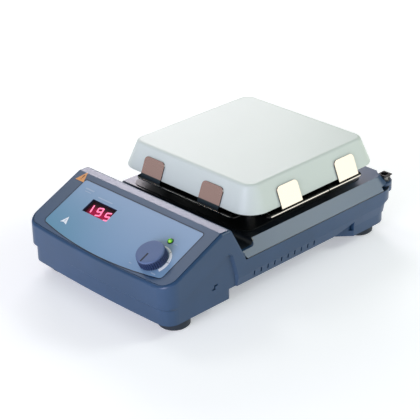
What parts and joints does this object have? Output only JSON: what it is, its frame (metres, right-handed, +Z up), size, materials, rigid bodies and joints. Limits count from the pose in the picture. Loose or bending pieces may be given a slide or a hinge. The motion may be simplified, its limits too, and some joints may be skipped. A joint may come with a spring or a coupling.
{
  "type": "magnetic stirrer",
  "caption": "Laboratory magnetic stirrer: square enamelled plate on a raised deck, sloping control head with knob and digital display, rubber feet, rod socket at the rear.",
  "frame": {"origin": "centre of the footprint on the bench, under the feet", "axes": "+Z up, +Y from the control head towards the rear wall, +X towards the side with the speed knob"},
  "size_m": [0.215, 0.3443, 0.112],
  "materials": {
    "lower_case": "fine-textured grey-blue",
    "upper_cover": "fine-textured grey-blue",
    "foot_rubber": "matt",
    "screw_steel": "zinc plated",
    "control_overlay": "satin printed film",
    "display_window": "dark red tinted, polished",
    "display_module": "black",
    "display_digits": "lit red",
    "control_board": "green laminate",
    "indicator_lamp": "green lens",
    "speed_encoder": "black",
    "encoder_nut": "nickel plated",
    "encoder_shaft": "machined",
    "speed_knob": "satin blue-grey",
    "warning_label": "orange film label",
    "deck_tray": "black",
    "carrier_posts": "turned",
    "shaft_shroud": "black",
    "plate_carrier": "black",
    "plate_pads": "matt",
    "plate_frame": "dark enamel on sheet steel",
    "top_plate": "white enamel",
    "motor_bracket": "zinc plated",
    "motor_housing": "black",
    "motor_stator": "laminated",
    "bearing_steel": "ground steel",
    "drive_shaft": "ground",
    "motor_rotor": "cast",
    "magnet_carrier": "milled",
    "magnet_yoke": "zinc plated",
    "stir_magnets": "nickel plated",
    "driver_board": "green laminate",
    "mains_transformer": "varnished laminations",
    "mains_inlet": "black",
    "inlet_blades": "nickel plated brass",
    "fuse_holder": "black",
    "switch_bezel": "black",
    "power_rocker": "black",
    "earth_stud": "bright",
    "rod_bush": "black",
    "rod_collar": "cut sheet",
    "rod_grub_screw": "blackened"
  },
  "bodies": {
    "case": {"lower_case": "lower_case", "upper_cover": "upper_cover", "foot_front_left": "foot_rubber", "foot_front_right": "foot_rubber", "foot_rear_left": "foot_rubber", "foot_rear_right": "foot_rubber", "foot_screws": "screw_steel", "case_screws": "screw_steel", "control_overlay": "control_overlay", "display_window": "display_window", "display_module": "display_module", "display_digits": "display_digits", "control_board": "control_board", "board_screws": "screw_steel", "indicator_lamp": "indicator_lamp", "speed_encoder": "speed_encoder", "encoder_nut": "encoder_nut", "warning_label": "warning_label", "deck_tray": "deck_tray", "carrier_posts": "carrier_posts", "post_screws": "screw_steel", "shaft_shroud": "shaft_shroud", "plate_carrier": "plate_carrier", "plate_pads": "plate_pads", "plate_frame": "plate_frame", "frame_screws": "screw_steel", "top_plate": "top_plate", "motor_bracket": "motor_bracket", "bracket_screws": "screw_steel", "motor_housing": "motor_housing", "motor_stator": "motor_stator", "bearing_lower": "bearing_steel", "bearing_upper": "bearing_steel", "driver_board": "driver_board", "driver_screws": "screw_steel", "mains_transformer": "mains_transformer", "mains_inlet": "mains_inlet", "inlet_blades": "inlet_blades", "fuse_holder": "fuse_holder", "switch_bezel": "switch_bezel", "earth_stud": "earth_stud", "rod_bush": "rod_bush", "rod_grub_screw": "rod_grub_screw", "rod_collar": "rod_collar"},
    "knob": {"speed_knob": "speed_knob", "encoder_shaft": "encoder_shaft"},
    "rotor": {"drive_shaft": "drive_shaft", "motor_rotor": "motor_rotor", "magnet_carrier": "magnet_carrier", "magnet_yoke": "magnet_yoke", "stir_magnets": "stir_magnets"},
    "rocker": {"power_rocker": "power_rocker"}
  },
  "joints": [
    {"name": "knob_turn", "type": "hinge", "parent": "case", "child": "knob", "pos_m": [0.0654, -0.14558, 0.06684], "axis": [0, -0.4099, 0.9121], "continuous": true},
    {"name": "rotor_spin", "type": "hinge", "parent": "case", "child": "rotor", "pos_m": [0, 0.0515, 0.09], "axis": [0, 0, 1], "continuous": true},
    {"name": "rocker_tilt", "type": "hinge", "parent": "case", "child": "rocker", "pos_m": [0.02, 0.1615, 0.0374], "axis": [0, 0, 1], "range_deg": [0, 16]}
  ]
}
